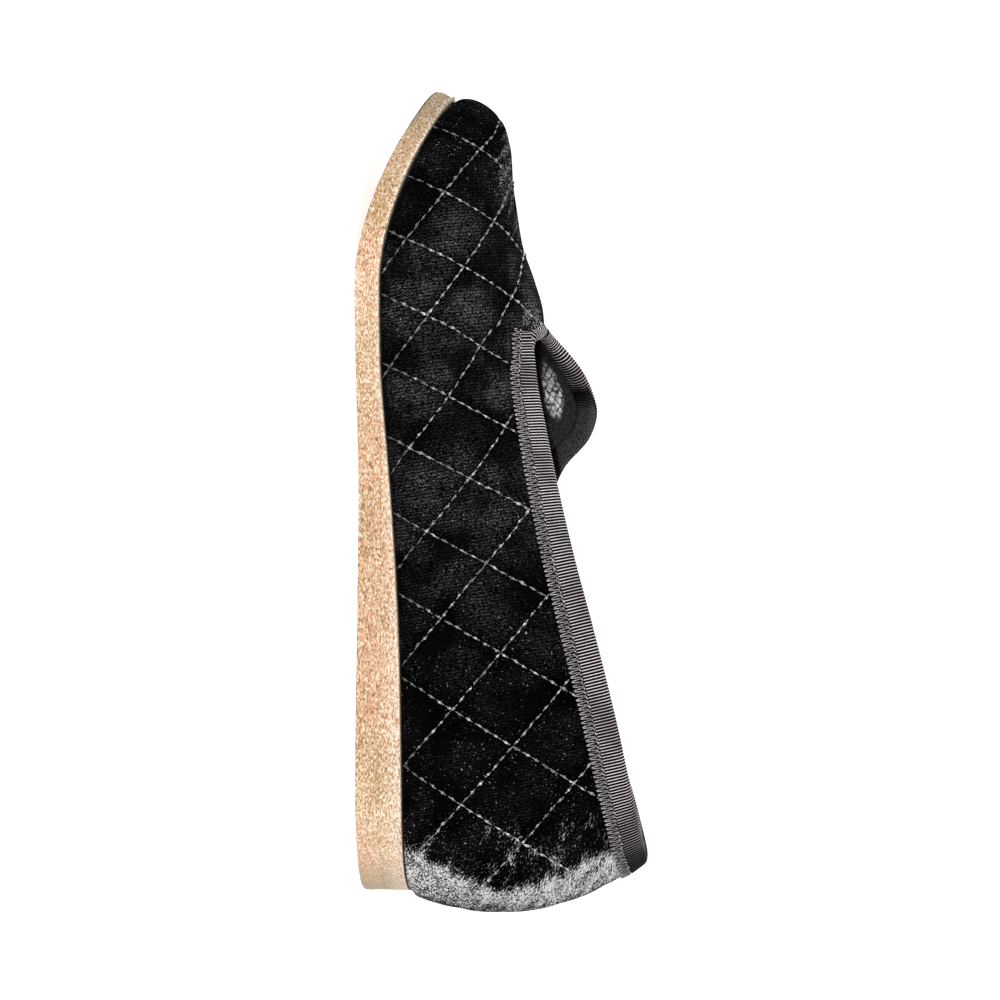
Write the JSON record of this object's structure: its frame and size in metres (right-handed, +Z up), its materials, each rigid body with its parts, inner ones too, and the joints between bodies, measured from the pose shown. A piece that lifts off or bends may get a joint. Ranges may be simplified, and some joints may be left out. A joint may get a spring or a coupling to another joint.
{
  "type": "slip-on flat shoe",
  "caption": "Quilted velvet slip-on flat: hollow upper with a V-notched throat, ribbon-bound collar, low heel wedge and a full-length outsole with toe spring.",
  "frame": {"origin": "on the floor under the middle of the shoe's box", "axes": "+X towards the toe, +Y towards the inner (medial) side, +Z up"},
  "size_m": [0.243, 0.0821, 0.0833],
  "materials": {
    "velvet": "black quilted velvet",
    "ribbon": "dark grey ribbed ribbon",
    "insole_cloth": "dark smooth cloth",
    "wedge_leather": "pale tan sueded leather",
    "outsole_leather": "tan sueded leather"
  },
  "bodies": {
    "root": {"upper": "velvet", "collar_binding": "ribbon", "insole": "insole_cloth", "heel_wedge": "wedge_leather", "outsole": "outsole_leather"}
  },
  "joints": []
}
